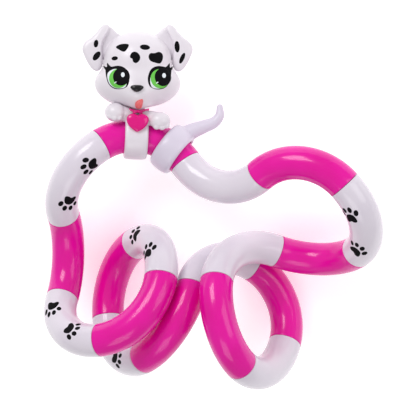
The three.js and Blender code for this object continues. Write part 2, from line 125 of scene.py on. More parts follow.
# %% [markdown]
# ## Skins made from rings
#
# Tubes, straps, collars and rounded shells are all one idea: a row of rings of points,
# with each ring joined to the next. Where the last ring joins the first one, the skin is
# closed like a tyre; otherwise each end gets a cap. A bevelled curve or a boolean would
# also give tubes. Formulas are used because they keep the facets even, so highlights run
# cleanly along the plastic.

# %% Rings and caps
TURN = 2 * math.pi
QUARTER = math.pi / 2


def ring_faces(rings, sides, first=0):
    faces = []
    for ring in range(rings - 1):
        here, there = first + ring * sides, first + (ring + 1) * sides
        for side in range(sides):
            step = (side + 1) % sides
            faces.append((here + side, here + step, there + step, there + side))
    return faces


def tyre(rings):
    """Points and faces of a skin whose last ring meets its first."""
    count, sides = len(rings), len(rings[0])
    points = np.concatenate(rings)
    faces = ring_faces(count, sides)
    last = (count - 1) * sides
    for side in range(sides):
        step = (side + 1) % sides
        faces.append((last + side, last + step, step, side))
    return points, faces


def pod(rings, start_pole, end_pole):
    """Points and faces of a skin that closes on one point at each end."""
    count, sides = len(rings), len(rings[0])
    points = np.concatenate([*rings, [start_pole], [end_pole]])
    faces = ring_faces(count, sides)
    last, south, north = (count - 1) * sides, count * sides, count * sides + 1
    for side in range(sides):
        step = (side + 1) % sides
        faces.append((south, step, side))
        faces.append((north, last + side, last + step))
    return points, faces


def combined(*shapes):
    points, faces, first = [], [], 0
    for shape_points, shape_faces in shapes:
        points.append(np.asarray(shape_points, float))
        faces.extend(tuple(first + corner for corner in face) for face in shape_faces)
        first += len(shape_points)
    return np.concatenate(points), faces


print("a pod of two squares has", len(pod(np.zeros((2, 4, 3)), *np.zeros((2, 3)))[1]), "faces")

# %% [markdown]
# ## Meshes and their places
#
# A list of points and faces becomes a Blender mesh, and a small edit turns every face
# outwards. A piece is then moved into its frame point by point, so its object stays at
# the origin and its bound box is the real one. Each point also remembers how far it lies
# from the plane where its mould opened, which the plastic uses later for the seam.

# %% Meshes in millimetres
def mesh_of(name, shape):
    """A mesh in millimetres, with its faces turned outwards."""
    points, faces = shape
    mesh = bpy.data.meshes.new(name)
    mesh.from_pydata(np.asarray(points, float).tolist(), [], faces)
    work = bmesh.new()
    work.from_mesh(mesh)
    bmesh.ops.recalc_face_normals(work, faces=work.faces)
    work.to_mesh(mesh)
    work.free()
    return mesh


SHARP = math.radians(38)
MOULD_SIDE = "mould_side"  # how far a point is from the plane its mould opened on


def place(name, mesh, where, body, slot, material, *stands_for):
    """Puts a mesh in its frame, in metres, and ties it to its CAD body."""
    mould_side = mesh.attributes.new(MOULD_SIDE, "FLOAT", "POINT")
    mould_side.data.foreach_set("value", [vertex.co.z for vertex in mesh.vertices])
    mesh.transform(where @ Matrix.Scale(MM, 4))
    mesh.shade_smooth()
    mesh.set_sharp_from_angle(angle=SHARP)
    mesh.materials.clear()
    mesh.materials.append(material)
    piece = bpy.data.objects.new(name, mesh)
    bpy.context.scene.collection.objects.link(piece)
    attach(piece, body)
    if stands_for:
        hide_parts(*stands_for)
    print(name, "faces:", len(mesh.polygons))


print("edges sharper than", round(math.degrees(SHARP)), "degrees stay crisp")

# %% [markdown]
# ## Moulded plastic
#
# Moulded plastic is one colour all through, yet it never looks like flat paint. The
# colour drifts a little where the melt was hotter, the gloss varies where the mould was
# polished, and a faint ripple bends the highlights. Painted textures could do this, but
# they need an unwrapped mesh. Noise in the piece's own space needs none and has no end,
# so one function makes all of these finishes from it. Numbers that are the same
# everywhere stay on the shader's own sockets.

# %% Noise
COLOUR_NOISE = (90, 2)  # scale and detail
GLOSS_NOISE = (260, 3)
RIPPLE_NOISE = (700, 2)
RIPPLE_DEPTH = 0.4 * MM
COAT_ROUGHNESS = 0.08


def socket_ramp(nodes, links, source, low, high):
    spread = nodes.new("ShaderNodeMapRange")
    spread.inputs["From Min"].default_value = 0.3
    spread.inputs["From Max"].default_value = 0.7
    spread.inputs["To Min"].default_value = low
    spread.inputs["To Max"].default_value = high
    links.new(source, spread.inputs["Value"])
    return spread.outputs["Result"]


def noise(nodes, links, scale, detail):
    texture = nodes.new("ShaderNodeTexNoise")
    texture.inputs["Scale"].default_value = scale
    texture.inputs["Detail"].default_value = detail
    place_on = nodes.new("ShaderNodeTexCoord")
    links.new(place_on.outputs["Object"], texture.inputs["Vector"])
    return texture.outputs["Fac"]


print("ripples are", RIPPLE_DEPTH / MM, "mm deep at most")


# %% Plastic
def plastic(
    name, colour, deeper, rough=(0.16, 0.24), coat=0.4, ripple=0.04, seam=False, shine=0.5
):
    material = bpy.data.materials.new(name)
    material.use_nodes = True
    nodes, links = material.node_tree.nodes, material.node_tree.links
    shader = nodes["Principled BSDF"]
    mix = nodes.new("ShaderNodeMix")
    mix.data_type = "RGBA"
    mix.inputs["A"].default_value = (*colour, 1)
    mix.inputs["B"].default_value = (*deeper, 1)
    drift = socket_ramp(nodes, links, noise(nodes, links, *COLOUR_NOISE), 0, 1)
    links.new(drift, mix.inputs["Factor"])
    links.new(mix.outputs["Result"], shader.inputs["Base Color"])
    gloss = socket_ramp(nodes, links, noise(nodes, links, *GLOSS_NOISE), *rough)
    links.new(gloss, shader.inputs["Roughness"])
    shader.inputs["Coat Weight"].default_value = coat
    shader.inputs["Coat Roughness"].default_value = COAT_ROUGHNESS
    shader.inputs["Specular IOR Level"].default_value = shine
    height = noise(nodes, links, *RIPPLE_NOISE)
    if seam:
        height = add_seam(nodes, links, height)
    bump = nodes.new("ShaderNodeBump")
    bump.inputs["Strength"].default_value = ripple
    bump.inputs["Distance"].default_value = RIPPLE_DEPTH
    links.new(height, bump.inputs["Height"])
    links.new(bump.outputs["Normal"], shader.inputs["Normal"])
    return material


SEAM_HALF = 0.04  # mm on each side of the plane
SEAM_FADE = 0.12
SEAM_HEIGHT = 0.9  # as a share of the ripple


def add_seam(nodes, links, height):
    """A hair-fine line where the two halves of a link's mould met, at z = 0."""
    side = nodes.new("ShaderNodeAttribute")
    side.attribute_name = MOULD_SIDE
    away = nodes.new("ShaderNodeMath")
    away.operation = "ABSOLUTE"
    links.new(side.outputs["Fac"], away.inputs[0])
    line = nodes.new("ShaderNodeMapRange")
    line.inputs["From Min"].default_value = SEAM_HALF
    line.inputs["From Max"].default_value = SEAM_FADE
    line.inputs["To Min"].default_value = SEAM_HEIGHT
    line.inputs["To Max"].default_value = 0.0
    links.new(away.outputs["Value"], line.inputs["Value"])
    total = nodes.new("ShaderNodeMath")
    total.operation = "ADD"
    links.new(height, total.inputs[0])
    links.new(line.outputs["Result"], total.inputs[1])
    return total.outputs["Value"]


# %% [markdown]
# ## The finishes of this toy
#
# Each finish names a colour, the slightly deeper colour that it drifts to, and the lowest
# and highest roughness. The links are the glossiest. The puppy and the tail are a softer,
# duller plastic, and printed ink is duller still.

# %% The finishes
POLISHED = (0.14, 0.22)
NOSE_GLOSS = (0.16, 0.26)
SATIN = (0.30, 0.42)
SOFT = (0.35, 0.45)
INK = (0.5, 0.6)
PINK = plastic(
    "glossy_pink", (0.84, 0.003, 0.37), (0.76, 0.002, 0.31), coat=0.22, seam=True, shine=0.3
)
WHITE = plastic(
    "lilac_white", (0.77, 0.71, 0.79), (0.73, 0.67, 0.76), coat=0.25, seam=True, shine=0.4
)
PUPPY_WHITE = plastic("puppy_white", (0.80, 0.75, 0.81), (0.77, 0.72, 0.78), SATIN, 0.15)
TAIL_WHITE = plastic("tail_white", (0.72, 0.66, 0.78), (0.68, 0.62, 0.74), SATIN, 0.15)
TAG_PINK = plastic(
    "tag_pink", (0.80, 0.002, 0.25), (0.72, 0.002, 0.20), POLISHED, 0.3, shine=0.3
)
TONGUE_PINK = plastic("tongue_pink", (0.76, 0.13, 0.14), (0.70, 0.10, 0.12), SOFT, 0.1)
BLACK = plastic(
    "nose_black", (0.004, 0.004, 0.005), (0.007, 0.006, 0.008), NOSE_GLOSS, 0.25, shine=0.3
)
INK_BLACK = plastic(
    "ink_black", (0.004, 0.004, 0.005), (0.008, 0.007, 0.009), INK, 0, shine=0.04
)
INK_GREEN = plastic("ink_green", (0.16, 0.60, 0.09), (0.13, 0.52, 0.07), INK, 0, shine=0.2)
INK_PALE = plastic("ink_pale", (0.82, 0.86, 0.90), (0.76, 0.81, 0.86), INK, 0, shine=0.2)
print("materials:", len(bpy.data.materials))

# %% [markdown]
# ## A link and its snap swivel
#
# Each link is a hollow quarter bend. A stud with a bead stands out of one end, and the
# other end is a socket with a lip that the bead snaps behind. The whole wall, outside and
# inside, is one tyre-shaped skin: the rings run along the outside, turn over the socket's
# lip, come back through the bore, pass the web and go round the stud. Sweeping a circle
# along a curve would make the outside but not the snap. Small rounded edges at both end
# faces catch the light as the thin seams between links.

# %% Sizes of a link
TUBE_RADIUS = 5.5
BORE_RADIUS = 4.1
BEAD_RADIUS = 3.8
LIP_RADIUS = 3.5
STUD_NECK_RADIUS = 3.2
STUD_BORE_RADIUS = 2.0
HALF_GAP = 0.06
SNAP_OVERLAP = 0.3
LIP_END = 1.65
BEAD_START = 1.95
BEAD_END = 3.15
STUD_LENGTH = 4.3
SOCKET_DEPTH = 4.9
END_WEB = 1.5
EDGE = 0.14  # rounding of the end faces
EDGE_STEPS = 5
TUBE_SIDES = 64
BEND_STEPS = 36
BORE_STEPS = 16
print("tube wall:", round(TUBE_RADIUS - BORE_RADIUS, 2), "mm")


# %% Rings along a link
def circle(sides=TUBE_SIDES):
    turn = np.arange(sides) * TURN / sides
    return np.cos(turn), np.sin(turn)


def bend_ring(angle, radius, sides=TUBE_SIDES):
    """A ring square to the bent centre line, which bends from +X towards +Y."""
    across, up = circle(sides)
    centre = BEND_RADIUS * np.array([math.sin(angle), 1 - math.cos(angle), 0])
    inwards = np.array([-math.sin(angle), math.cos(angle), 0])
    return centre + radius * (np.outer(across, inwards) + np.outer(up, [0, 0, 1]))


def start_ring(along, radius):
    """A ring on the straight line through the link's start."""
    return bend_ring(0, radius) + np.array([along, 0, 0])


def end_ring(along, radius):
    """A ring on the straight line through the link's end."""
    return bend_ring(QUARTER, radius) + np.array([0, along, 0])


print("a ring has", len(start_ring(0, TUBE_RADIUS)), "points")


# %% The links
def link_shape(has_stud):
    """Outside, lip, bore, web and stud of a link, as one tyre."""
    first, last = HALF_GAP / BEND_RADIUS, QUARTER - HALF_GAP / BEND_RADIUS
    inset = EDGE / BEND_RADIUS
    rings = []
    for turn in np.linspace(0, QUARTER, EDGE_STEPS):
        angle = first + inset * (1 - math.cos(turn))
        rings.append(bend_ring(angle, TUBE_RADIUS - EDGE * (1 - math.sin(turn))))
    for angle in np.linspace(first + inset, last - inset, BEND_STEPS + 1)[1:-1]:
        rings.append(bend_ring(angle, TUBE_RADIUS))
    for turn in np.linspace(QUARTER, 0, EDGE_STEPS):
        angle = last - inset * (1 - math.cos(turn))
        rings.append(bend_ring(angle, TUBE_RADIUS - EDGE * (1 - math.sin(turn))))
    rings.append(end_ring(-HALF_GAP, BEAD_RADIUS))
    rings.append(end_ring(-HALF_GAP - SNAP_OVERLAP, LIP_RADIUS))
    rings.append(end_ring(-LIP_END, LIP_RADIUS))
    rings.append(end_ring(-LIP_END, BORE_RADIUS))
    bore_end = QUARTER - SOCKET_DEPTH / BEND_RADIUS
    bore_start = (HALF_GAP + END_WEB) / BEND_RADIUS
    for angle in np.linspace(bore_end, bore_start, BORE_STEPS):
        rings.append(bend_ring(angle, BORE_RADIUS))
    rings.append(start_ring(HALF_GAP + END_WEB, STUD_BORE_RADIUS))
    if has_stud:
        rings.append(start_ring(-STUD_LENGTH, STUD_BORE_RADIUS))
        rings.append(start_ring(-STUD_LENGTH, STUD_NECK_RADIUS - SNAP_OVERLAP))
        rings.append(start_ring(-BEAD_END, BEAD_RADIUS))
        rings.append(start_ring(-BEAD_START - SNAP_OVERLAP, BEAD_RADIUS))
        rings.append(start_ring(-BEAD_START, STUD_NECK_RADIUS))
        rings.append(start_ring(HALF_GAP, STUD_NECK_RADIUS))
    else:
        rings.append(start_ring(HALF_GAP, STUD_BORE_RADIUS))
    return tyre(rings)


for n in range(1, LINKS + 1):
    name = f"link_{n:02d}"
    pink = n % 2 == 1
    skin = mesh_of(name, link_shape(n != OPEN_AT))
    slot = "pink_plastic" if pink else "white_plastic"
    place(f"{name}_skin", skin, link_frames[n], name, slot, PINK if pink else WHITE, name)

# %% [markdown]
# ## Printed marks
#
# The black marks are printed ink. Ink has almost no height, so each mark is a very thin
# closed pad that lies draped on the plastic. A mark starts as a smooth flat outline. It
# is filled with rings that shrink to its middle, and each point is then laid on the
# surface, so the pad follows the curve with no gaps. A function that knows the surface
# does the laying, and the same mark can go on a tube, the head or an ear. A painted
# texture would be lighter, but a pad keeps a sharp edge however near the camera comes.

# %% Outlines and draping
INK_HEIGHT = 0.035
INK_ROOT = -0.06  # the pad's underside, just inside the plastic
FILL = (0.97, 0.8, 0.6, 0.4, 0.2)


def curve_points(a, b, c, d, steps):
    """Points from b up to c on the smooth curve that also heads for a and d."""
    return [
        b + (c - a) * t / 2
        + (2 * a - 5 * b + 4 * c - d) * t**2 / 2
        + (3 * b - a - 3 * c + d) * t**3 / 2
        for t in np.arange(steps) / steps
    ]


def smooth_outline(corners, per_side=6):
    """A closed smooth curve through the corners."""
    corners = np.array(corners, float)
    points = []
    for i in range(len(corners)):
        near = [corners[(i + k) % len(corners)] for k in (-1, 0, 1, 2)]
        points += curve_points(*near, per_side)
    return np.array(points)


def oval(centre, half_width, half_height, lean=0, sides=24):
    across, up = circle(sides)
    lean = math.radians(lean)
    turn = np.array([[math.cos(lean), math.sin(lean)], [-math.sin(lean), math.cos(lean)]])
    return np.stack([half_width * across, half_height * up], 1) @ turn + np.array(centre)


def draped(outline, lay, height=INK_HEIGHT):
    """A thin pad with this outline, laid on a surface by lay(flat points, height)."""
    middle = outline.mean(0)
    flat = [middle + (outline - middle) * share for share in FILL]
    top = [lay(points, height) for points in reversed(flat)]
    bottom = [lay(points, INK_ROOT) for points in flat]
    rings = [*top, lay(outline, height / 2), *bottom]
    centre = middle[None, :]
    return pod(rings, lay(centre, height)[0], lay(centre, INK_ROOT)[0])


print("rings in a mark:", 2 * len(FILL) + 1)

# %% [markdown]
# ## Paw prints on the white links
#
# Every white link carries two black paw prints on one side only: a kidney-shaped pad
# with four toes round it. They are printed in the same two places each time, a third and
# three quarters of the way along the bend, with the toes towards the link's start. On the
# last link both sit a little further on. The tube's surface has a formula, so the marks
# are laid on it exactly and no modifier has to project them.

# %% Paw prints
PRINT_SIDE = -91  # degrees round the tube from the inside of the bend
PRINT_DRIFT = {18: (3, -7)}  # degrees along and round, off the usual place
PRINTS = [{"arc": 27, "lean": 2}, {"arc": 68.5, "lean": 18}]
PAD = smooth_outline(
    [(-2.0, -0.2), (-1.5, 0.95), (-0.5, 1.5), (0.6, 1.5), (1.5, 0.9), (2.05, -0.3)]
    + [(2.15, -1.3), (1.4, -1.75), (0.2, -1.25), (-1.0, -1.65), (-2.0, -1.35)]
)
TOES = [(-2.75, 1.5, 28), (-1.15, 3.0, 10), (1.0, 3.15, -8), (2.7, 1.75, -26)]
TOE_RADII = (0.78, 1.03)


def paw_print():
    """Outlines with the toes towards +V: U runs round the tube and V along it."""
    return [PAD, *[oval((u, v), *TOE_RADII, lean) for u, v, lean in TOES]]


def on_tube(arc, lean, around):
    """Lays flat points on a link, round a middle given in degrees."""
    turn = math.radians(lean)
    flat_radius = BEND_RADIUS - TUBE_RADIUS * math.cos(math.radians(around))

    def lay(points, height):
        u = points[:, 0] * math.cos(turn) - points[:, 1] * math.sin(turn)
        v = points[:, 0] * math.sin(turn) + points[:, 1] * math.cos(turn)
        angle = math.radians(arc) - v / flat_radius
        side = math.radians(around) + u / TUBE_RADIUS
        reach = BEND_RADIUS - (TUBE_RADIUS + height) * np.cos(side)
        up = (TUBE_RADIUS + height) * np.sin(side)
        return np.stack([reach * np.sin(angle), BEND_RADIUS - reach * np.cos(angle), up], 1)

    return lay


for n in range(2, LINKS + 1, 2):
    along, round_tube = PRINT_DRIFT.get(n, (0, 0))
    pads = []
    for mark in PRINTS:
        lay = on_tube(mark["arc"] + along, mark["lean"], PRINT_SIDE + round_tube)
        pads += [draped(outline, lay) for outline in paw_print()]
    name = f"paw_prints_{n:02d}"
    marks = mesh_of(name, combined(*pads))
    place(name, marks, link_frames[n], f"link_{n:02d}", "black_plastic", INK_BLACK)

# %% [markdown]
# ## The puppy's frame
#
# The puppy turns about the tube that it is clipped to, so its frame comes from its own
# swivel: X along the tube, Z to the top of the head and -Y out of the face. The tail's
# ring has a frame of the same kind. The head is turned a few degrees on the neck.

# %% Frame of the puppy
ROLL = math.radians(108)  # the back of the head, round the tube from its inside
HEAD_TURN = math.radians(-3)
HEAD_TILT = math.radians(-1.8)
HEAD_CENTRE = np.array([-0.05, -2.0, 21.5])


def charm_frame(joint_name):
    """Frame of a ring on link 1, from its swivel."""
    along = np.array(JOINTS[joint_name]["axis"])
    along = along / np.linalg.norm(along)
    x, y, z = (np.array(link_frames[1].col[i][:3]) for i in range(3))
    inwards = y * np.dot(along, x) - x * np.dot(along, y)
    back = math.cos(ROLL) * inwards + math.sin(ROLL) * z
    return matrix_of(along, back, np.array(JOINTS[joint_name]["pos_m"]) / MM)


puppy_frame = charm_frame("puppy_swivel")
tail_frame = charm_frame("tail_swivel")
head_frame = puppy_frame @ Matrix.Rotation(HEAD_TURN, 4, "Z")
head_frame = head_frame @ Matrix.Translation(Vector(HEAD_CENTRE) * MM)
head_frame = head_frame @ Matrix.Rotation(HEAD_TILT, 4, "Y")
print("puppy at", [round(v, 4) for v in puppy_frame.translation])

# %% [markdown]
# ## The head's form
#
# The head is a soft blend of a skull, a wide pair of cheeks, a small muzzle and a chin.
# A formula says how far a point is from that blended surface, and everything about the
# head asks the same formula: the two shells, and later the eyes and spots that lie on
# them. It could be sculpted, but a formula also says where a ray from inside comes out.

# %% Distance to the head's surface
HEAD_BALLS = [
    {"at": (0, 0.6, 3.5), "radii": (11.2, 9.4, 9.7)},
    {"at": (0, 0, -4.2), "radii": (14.2, 9.3, 8.1)},
    {"at": (-0.2, -6.6, -7.3), "radii": (4.4, 3.6, 3.3)},
    {"at": (0.3, -5.2, -10.2), "radii": (3.3, 2.9, 2.5)},
]
BLEND = 0.75
RAY = 30.0  # longer than any way out of the head
HALVINGS = 36


def head_depth(points):
    """Rough distance outside the head's surface, below zero inside."""
    near = 0
    for ball in HEAD_BALLS:
        radii = np.array(ball["radii"])
        reach = np.linalg.norm((points - np.array(ball["at"])) / radii, axis=-1)
        near = near + np.exp(-(reach - 1) * radii.min() / BLEND)
    return -BLEND * np.log(near)


def crossing(start, step, inset=0.0):
    """Points where rays leave the head, found by halving."""
    low, high = np.zeros(len(step)), np.full(len(step), RAY)
    for _ in range(HALVINGS):
        middle = (low + high) / 2
        inside = head_depth(start + step * middle[:, None]) < -inset
        low, high = np.where(inside, middle, low), np.where(inside, high, middle)
    return start + step * ((low + high) / 2)[:, None]


def on_head(points, height):
    """Lays flat (x, z) points on the front of the head."""
    start = np.stack([points[:, 0], np.zeros(len(points)), points[:, 1]], 1)
    step = np.tile([0.0, -1.0, 0.0], (len(points), 1))
    spots = crossing(start, step)
    nudges = 0.01 * np.eye(3)
    slope = np.stack([head_depth(spots + n) - head_depth(spots - n) for n in nudges], 1)
    return spots + height * slope / np.linalg.norm(slope, axis=1)[:, None]


print("face at y =", on_head(np.zeros((1, 2)), 0).round(2)[0][1], "mm")

# %% [markdown]
# ## Two shells
#
# The real head is moulded in a front and a rear half, so each half is a shell of its own,
# with a thin seam line between them. Rays from the middle find the outside, and the same
# rays stop short of it to give the hollow. A solid head cut in two would show no wall.

# %% Shells of the head
HEAD_WALL = 1.8
HEAD_SEAM = 0.05
SEAM_ROUND = 0.12
LIP_DRAW = 0.01  # how much the lip at the seam draws in, as a share of the radius
SHELL_RINGS = 56
SHELL_SIDES = 112


def half_head(front):
    """A half shell from its pole at -Y or +Y to the parting plane, and back inside."""
    sign = -1 if front else 1
    across, up = circle(SHELL_SIDES)

    def ring(tilt, inset):
        away = np.full(SHELL_SIDES, sign * math.cos(tilt))
        step = np.stack([across * math.sin(tilt), away, up * math.sin(tilt)], 1)
        return crossing(np.zeros((SHELL_SIDES, 3)), step, inset)

    tilts = np.linspace(0, QUARTER, SHELL_RINGS + 1)[1:]
    outer = [ring(tilt, 0) for tilt in tilts]
    inner = [ring(tilt, HEAD_WALL) for tilt in reversed(tilts)]
    lip = outer[-1] * (1 - LIP_DRAW)
    for rim in (lip, inner[0]):
        rim[:, 1] = sign * HEAD_SEAM
    outer[-1][:, 1] = sign * (HEAD_SEAM + SEAM_ROUND)
    pole = np.array([[0.0, float(sign), 0.0]])
    tips = [crossing(np.zeros((1, 3)), pole, inset)[0] for inset in (0, HEAD_WALL)]
    return pod([*outer, lip, *inner], *tips)


place(
    "head_front", mesh_of("head_front", half_head(True)), head_frame,
    "puppy", "puppy_white", PUPPY_WHITE, "puppy_head_front",
)

# %% [markdown]
# ## Folded ears
#
# Each ear stands up from the skull to a peak and then folds over, so that its front is a
# broad flap with a rounded tip. Two pillow-shaped layers make it: a back plate that
# grows out of the skull, and the flap in front of it. The step between them is the
# hollow of the ear. Bending a single sheet would fold it too, but two layers keep the
# outline where it should be.

# %% Pillow-shaped layers
ROUNDING = 2.2  # 2 would be a true ellipse at the edge
PILLOW = (0.999, 0.99, 0.97, 0.93, 0.87, 0.78, 0.66, 0.5, 0.34, 0.17)


def pillow(outline, front, rear, middle=None, crown=5.0):
    """A rounded plate: flat (x, z) outline, with its faces at y = front and y = rear.

    A higher crown keeps the faces flat for longer before they round off.
    """
    middle = outline.mean(0) if middle is None else np.array(middle, float)
    half, centre = (rear - front) / 2, (rear + front) / 2

    def ring(share, side):
        flat = middle + (outline - middle) * share
        rise = half * (1 - share**crown) ** (1 / ROUNDING)
        return np.stack([flat[:, 0], np.full(len(flat), centre + side * rise), flat[:, 1]], 1)

    fronts = [ring(share, -1) for share in reversed(PILLOW)]
    rears = [ring(share, 1) for share in PILLOW]
    edge = ring(1.0, 1)
    tips = [(middle[0], y, middle[1]) for y in (front, rear)]
    return pod([*fronts, edge, *rears], *tips)


def sides_of(points, side):
    return [(side * x, z) for x, z in points]


EAR_PLATE = [
    (4.6, 10.6), (7.0, 13.0), (8.8, 14.7), (10.8, 15.0), (13.0, 13.2), (13.4, 4.0), (9.0, 4.5),
]
EAR_PLATE_DEPTH = (1.3, 3.1)
EAR_FLAP = [
    (10.2, 15.6), (11.9, 15.1), (13.5, 13.1), (15.4, 11.2), (17.5, 9.6), (18.4, 7.4),
    (17.7, 5.0), (16.4, 2.4), (14.9, 0.5), (13.2, 0.0), (11.9, 1.4), (11.6, 4.6),
    (11.9, 8.2), (10.9, 11.6), (9.7, 13.6), (9.4, 14.8),
]
EAR_FLAP_DEPTH = (-0.5, 2.3)
EAR_FLAP_MIDDLE = (14.2, 7)
print("an ear is", EAR_FLAP_DEPTH[1] - EAR_FLAP_DEPTH[0], "mm deep")


# %% [markdown]
# ## Fusing soft forms
#
# Moulded toys have no creases where one form grows out of another. Booleans would leave
# sharp joins, so the overlapping forms are melted instead: a voxel remesh keeps only the
# common outside, and a few smoothing passes round the joins. The rear shell and both
# ears become one skin in this way.

# %% Fusing soft forms
def fused(name, shape, voxel, passes):
    """Melts overlapping shapes into one skin and smooths the joins."""
    lump = bpy.data.objects.new(name, mesh_of(name, shape))
    bpy.context.scene.collection.objects.link(lump)
    melt = lump.modifiers.new("melt", "REMESH")
    melt.mode = "VOXEL"
    melt.voxel_size = voxel
    soften = lump.modifiers.new("soften", "SMOOTH")
    soften.factor = 0.5
    soften.iterations = passes
    bpy.context.view_layer.update()
    done = lump.evaluated_get(bpy.context.evaluated_depsgraph_get())
    mesh = bpy.data.meshes.new_from_object(done)
    bpy.data.objects.remove(lump)
    return mesh


rear_parts = [half_head(False)]
for side in (-1, 1):
    plate, flap = (smooth_outline(sides_of(ear, side)) for ear in (EAR_PLATE, EAR_FLAP))
    rear_parts.append(pillow(plate, *EAR_PLATE_DEPTH))
    rear_parts.append(pillow(flap, *EAR_FLAP_DEPTH, *sides_of([EAR_FLAP_MIDDLE], side)))
rear_mesh = fused("head_rear", combined(*rear_parts), 0.2, 4)
rear_corners = [vertex.co.copy() for vertex in rear_mesh.vertices]
rear_faces = [face.vertices[:] for face in rear_mesh.polygons]
rear_tree = BVHTree.FromPolygons(rear_corners, rear_faces)  # before place() moves the mesh
place(
    "head_rear", rear_mesh, head_frame, "puppy", "puppy_white", PUPPY_WHITE, "puppy_head_rear",
)

# %% [markdown]
# ## Nose and tongue
#
# The nose is a glossy black pip with a broad top and a small point below. The tongue is
# a separate salmon piece that hangs from the mouth, a little to one side. Both are
# pillows pressed into the muzzle: a pillow gives the domed front of a moulded insert from
# a flat outline alone.

# %% Nose and tongue
NOSE = [
    (-2.2, 0.25), (-1.5, 0.9), (0, 1.05), (1.5, 0.9), (2.2, 0.25), (1.5, -0.65), (0.5, -1.2),
    (-0.5, -1.2), (-1.5, -0.65),
]
TONGUE = [
    (1.35, 1.7), (0.5, 1.65), (-0.8, 0.95), (-1.4, -0.2), (-1.15, -1.3), (0, -1.8),
    (0.85, -1.3), (1.25, 0.2),
]
DOME = 2.4  # crown of a pillow that is domed right across


def face_piece(name, corners, centre, depth, slot, material):
    outline = smooth_outline(np.array(corners) + np.array(centre))
    mesh = mesh_of(name, pillow(outline, *depth, centre, DOME))
    place(name, mesh, head_frame, "puppy", slot, material, f"puppy_{name}")


face_piece("nose", NOSE, (-0.3, -6.3), (-11.75, -9.4), "black_plastic", BLACK)
face_piece("tongue", TONGUE, (0.45, -11.2), (-9.6, -6.6), "tongue_pink", TONGUE_PINK)

# %% [markdown]
# ## Spots on the head and ears
#
# The spots are printed too, each with its own uneven outline. On the head they are laid
# with the head's formula. The ears have no formula after the melt, so rays are shot at
# the finished mesh to find where the ink lies.

# %% Spots on the head and ears
SPOTS = [
    smooth_outline([
        (-7.2, 7.4), (-6.2, 8.2), (-4.4, 8.5), (-3.0, 8.1), (-3.6, 6.6), (-4.6, 5.8), (-6.0, 6.4),
    ]),
    oval((2.3, 7.3), 1.65, 0.9, -4),
    oval((-7.6, 3.7), 1.05, 0.68, 4),
    smooth_outline([
        (-2.6, 4.4), (-1.8, 5.6), (-0.4, 5.6), (0.7, 4.3), (0.5, 2.9), (-0.6, 2.0), (-1.6, 2.5),
        (-1.85, 3.4), (-2.4, 3.7),
    ]),
    smooth_outline([
        (3.5, 4.2), (4.1, 5.3), (5.5, 5.4), (7.0, 5.9), (8.1, 5.2), (8.2, 3.6), (7.3, 2.1),
        (5.5, 2.3), (4.0, 2.9),
    ]),
]
EAR_SPOTS = [
    oval((-13.8, 9.0), 0.75, 1.3, -8), oval((-13.6, 4.9), 0.95, 1.75, -38),
    oval((13.1, 8.1), 0.85, 1.9, 4), oval((14.8, 4.3), 0.7, 1.95, -24),
]


def on_ear(points, height):
    """Lays flat (x, z) points on the front of the ears."""
    laid = []
    for x, z in points:
        spot, normal, _, _ = rear_tree.ray_cast(Vector((x, -RAY, z)), Vector((0, 1, 0)))
        laid.append(tuple(spot + normal * height))
    return np.array(laid)


head_marks = [draped(outline, on_head) for outline in SPOTS]
ear_marks = [draped(outline, on_ear) for outline in EAR_SPOTS]
spots = mesh_of("head_spots", combined(*head_marks, *ear_marks))
place("head_spots", spots, head_frame, "puppy", "black_plastic", INK_BLACK)

# %% [markdown]
# ## Eyes
#
# The big eyes are printed in layers, and they are built up in the same way here, each a
# little higher than the last: the black lids and lashes, the pale white of the eye, the
# green iris, the black pupil, and at the top a round glint. Real layers of ink overlap
# cleanly, where colours mixed in one material would need a drawn mask.

# %% Eyes
LIDS = [
    (-4.2, 3.0), (-3.6, 3.75), (-2.4, 3.6), (0.5, 3.8), (2.7, 2.8), (3.8, 0.6), (3.9, -1.4),
    (3.1, -3.2), (0.9, -3.95), (-1.6, -3.55), (-3.2, -2.0), (-4.0, 0.5),
]
SCLERA = [
    (-3.45, 1.3), (-2.3, 2.4), (-0.6, 2.8), (1.6, 2.2), (2.9, 0.4), (3.1, -2.0), (2.2, -3.5),
    (-0.4, -3.6), (-2.4, -2.6), (-3.4, -0.7),
]
EYES = {
    "left": {
        "centre": (-6.6, -2.6), "side": 1,
        "iris": (0.3, -0.4), "pupil": (1.2, 0.15), "glint": (1.7, 0.75),
    },
    "right": {
        "centre": (7.05, -2.6), "side": -1,
        "iris": (0.25, -0.4), "pupil": (1.15, 0.15), "glint": (1.5, 0.65),
    },
}
EYE_SQUEEZE = 0.96
ROUND_SIDES = 48
LASHES = [
    [(-4.0, 2.4), (-4.6, 3.2), (-4.9, 4.2), (-4.0, 3.6), (-3.3, 3.2)],
    [(-3.4, 3.1), (-3.7, 4.0), (-3.6, 5.0), (-2.9, 4.2), (-2.3, 3.5)],
]


def eye_layers(eye):
    centre = np.array(eye["centre"])
    flip = np.array([eye["side"] * EYE_SQUEEZE, 1])

    def moved(points):
        return smooth_outline(np.array(points) * flip + centre)

    def disc(key, *radii):
        return oval(centre + eye[key], *radii, sides=ROUND_SIDES)

    black = [moved(LIDS), *[moved(lash) for lash in LASHES]]
    glints = [oval(centre + eye["glint"], 0.62, 0.82), oval(centre + (-0.75, -1.75), 0.5, 0.16, 35)]
    return [
        ("lids", black, INK_BLACK, 1),
        ("white", [moved(SCLERA)], INK_PALE, 2),
        ("iris", [disc("iris", 3.15, 3.2)], INK_GREEN, 3),
        ("pupil", [disc("pupil", 2.75, 3.0)], INK_BLACK, 4),
        ("glint", glints, INK_PALE, 5),
    ]


